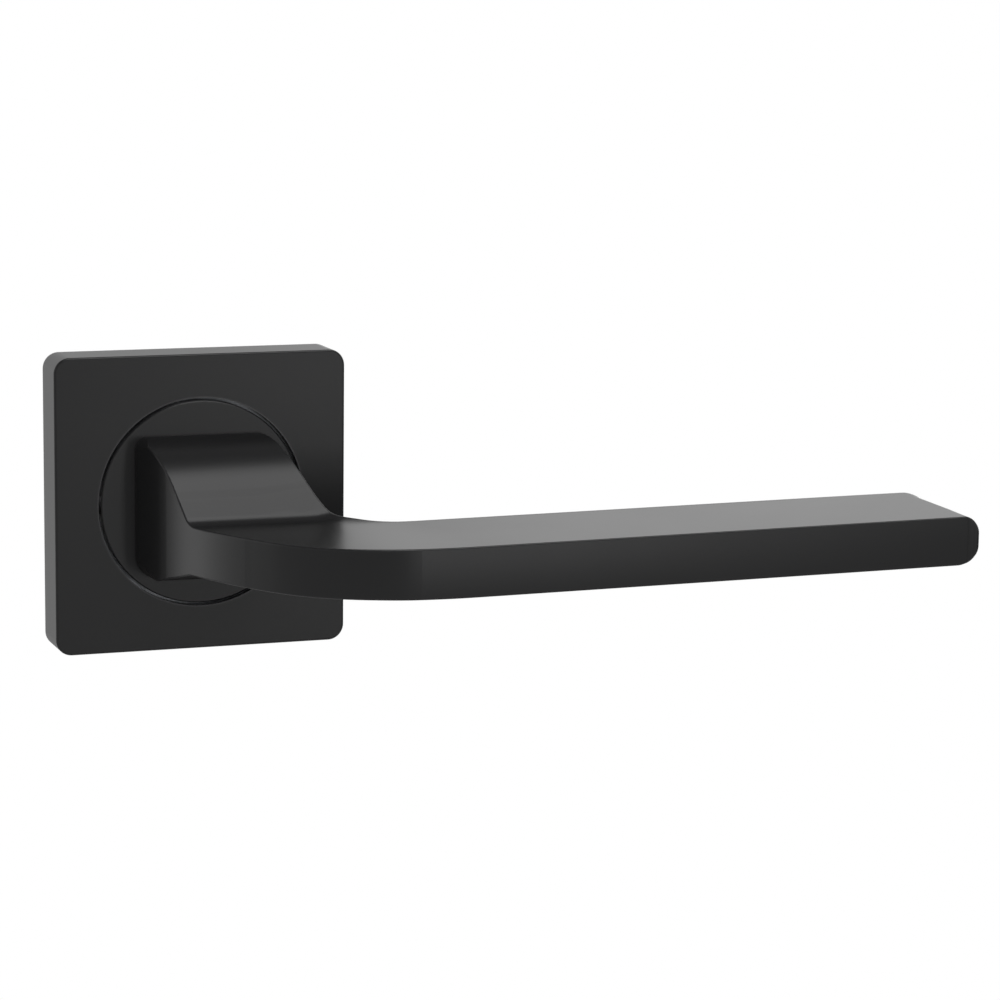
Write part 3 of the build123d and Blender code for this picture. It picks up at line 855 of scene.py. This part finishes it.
def put(socket, value):
    """Sets an input to a number, or links a socket to it."""
    if isinstance(value, (int, float)):
        socket.default_value = value
    else:
        posts_tree.links.new(value, socket)


def calc(operation, *values):
    """Math node on numbers and sockets."""
    node = add_node(posts_tree, "ShaderNodeMath", operation=operation)
    for socket, value in zip(node.inputs, values):
        put(socket, value)
    return node.outputs[0]


def eased(value, start, end):
    """Goes from 0 to 1 between two limits."""
    part = calc("DIVIDE", calc("SUBTRACT", value, start), calc("SUBTRACT", end, start))
    return calc("SMOOTH_MIN", calc("MAXIMUM", part, 0), 1, 0)


def pick(index, *values):
    """Takes one value from a list by its index."""
    node = add_node(posts_tree, "GeometryNodeIndexSwitch", data_type="FLOAT")
    while len(node.index_switch_items) < len(values):
        node.index_switch_items.new()
    put(node.inputs["Index"], index)
    for socket, value in zip(node.inputs[1:], values):
        put(socket, value)
    return node.outputs[0]


def rolled_grid(rows, radius_and_height):
    """Grid rolled round the post's axis; a rule gives the radius and height of each row."""
    grid = add_node(posts_tree, "GeometryNodeMeshGrid")
    grid.inputs["Vertices X"].default_value = SEGMENTS + 1
    grid.inputs["Vertices Y"].default_value = rows
    index = add_node(posts_tree, "GeometryNodeInputIndex").outputs[0]
    row = calc("MODULO", index, rows)
    turn_share = calc("DIVIDE", calc("FLOOR", calc("DIVIDE", calc("ADD", index, 0.5), rows)), SEGMENTS)
    radius, height = radius_and_height(row, turn_share)
    angle = calc("MULTIPLY", turn_share, 2 * math.pi)
    place = add_node(posts_tree, "ShaderNodeCombineXYZ")
    put(place.inputs["X"], calc("MULTIPLY", radius, calc("COSINE", angle)))
    put(place.inputs["Y"], height)
    put(place.inputs["Z"], calc("MULTIPLY", radius, calc("SINE", angle)))
    moved = add_node(posts_tree, "GeometryNodeSetPosition")
    put(moved.inputs["Geometry"], grid.outputs["Mesh"])
    put(moved.inputs["Position"], place.outputs[0])
    return moved.outputs[0]


mouth = calc("ADD", sizes_in["Core Radius"], sizes_in["Lead"])
flange_back = calc("ADD", sizes_in["Front"], sizes_in["Flange Thickness"])


def outside(row, turn_share):
    """Six rings: mouth, end, body, flange, flange front, mouth."""
    body, flange = sizes_in["Outer Radius"], sizes_in["Flange Radius"]
    back, front = sizes_in["Back"], sizes_in["Front"]
    radius = pick(row, mouth, body, body, flange, flange, mouth)
    return radius, pick(row, back, back, flange_back, flange_back, front, front)


def thread(row, turn_share):
    """Core radius plus a groove that winds once per pitch and fades out at both mouths."""
    length = calc("SUBTRACT", sizes_in["Back"], sizes_in["Front"])
    depth = calc("MULTIPLY", calc("DIVIDE", row, BORE_ROWS - 1), length)
    phase = calc("FRACT", calc("ADD", calc("DIVIDE", depth, sizes_in["Pitch"]), turn_share))
    groove = calc("ABSOLUTE", calc("SUBTRACT", calc("MULTIPLY", phase, 2), 1))
    from_end = calc("MINIMUM", depth, calc("SUBTRACT", length, depth))
    deep = eased(from_end, sizes_in["Lead"], calc("ADD", sizes_in["Lead"], sizes_in["Pitch"]))
    flare = calc("SUBTRACT", 1, eased(from_end, 0, sizes_in["Lead"]))
    cut = calc("MULTIPLY", calc("MULTIPLY", groove, sizes_in["Thread Depth"]), deep)
    radius = calc("ADD", calc("ADD", sizes_in["Core Radius"], cut), calc("MULTIPLY", flare, sizes_in["Lead"]))
    return radius, calc("SUBTRACT", sizes_in["Back"], depth)


shells = add_node(posts_tree, "GeometryNodeJoinGeometry")
for shell in (rolled_grid(6, outside), rolled_grid(BORE_ROWS, thread)):
    posts_tree.links.new(shell, shells.inputs[0])
closed = add_node(posts_tree, "GeometryNodeMergeByDistance")
closed.inputs["Distance"].default_value = SEAM
pair = add_node(posts_tree, "GeometryNodeMeshLine")
pair.inputs["Count"].default_value = 2
start = add_node(posts_tree, "ShaderNodeCombineXYZ")
step = add_node(posts_tree, "ShaderNodeCombineXYZ")
copies = add_node(posts_tree, "GeometryNodeInstanceOnPoints")
real = add_node(posts_tree, "GeometryNodeRealizeInstances")
finished = add_node(posts_tree, "GeometryNodeSetMaterial")
put(start.inputs["X"], calc("MULTIPLY", sizes_in["Spacing"], -0.5))
put(step.inputs["X"], sizes_in["Spacing"])
wire(
    posts_tree,
    (shells.outputs[0], closed.inputs["Geometry"]),
    (start.outputs[0], pair.inputs["Start Location"]),
    (step.outputs[0], pair.inputs["Offset"]),
    (pair.outputs[0], copies.inputs["Points"]),
    (closed.outputs[0], copies.inputs["Instance"]),
    (copies.outputs[0], real.inputs[0]),
    (real.outputs[0], finished.inputs["Geometry"]),
    (sizes_in["Finish"], finished.inputs["Material"]),
    (finished.outputs[0], add_node(posts_tree, "NodeGroupOutput").inputs[0]),
)
print("tree", posts_tree.name, "with", len(posts_tree.nodes), "nodes")

# %% Posts as a plain mesh
SHARP_ANGLE = math.radians(32)


def plain_mesh(name, tree, values):
    """Runs a tree on an empty object and keeps the result as a mesh with faces outwards."""
    piece = bpy.data.objects.new(name, bpy.data.meshes.new(name))
    bpy.context.scene.collection.objects.link(piece)
    modifier = piece.modifiers.new(name, "NODES")
    modifier.node_group = tree
    for item in tree.interface.items_tree:
        if item.in_out == "INPUT":
            modifier[item.identifier] = values[item.name]
    evaluated = piece.evaluated_get(bpy.context.evaluated_depsgraph_get())
    mesh = bpy.data.meshes.new_from_object(evaluated)
    piece.modifiers.clear()
    mesh.name = name
    piece.data = mesh
    shape = bmesh.new()
    shape.from_mesh(mesh)
    bmesh.ops.recalc_face_normals(shape, faces=shape.faces)
    describe(name, shape)
    shape.to_mesh(mesh)
    shape.free()
    mesh.shade_smooth()
    mesh.set_sharp_from_angle(angle=SHARP_ANGLE)
    return piece


posts = plain_mesh("threaded_posts", posts_tree, {**POST_SIZES, "Finish": plated_bar})
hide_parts("fixing_post_left", "fixing_post_right")
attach(posts, "rose")
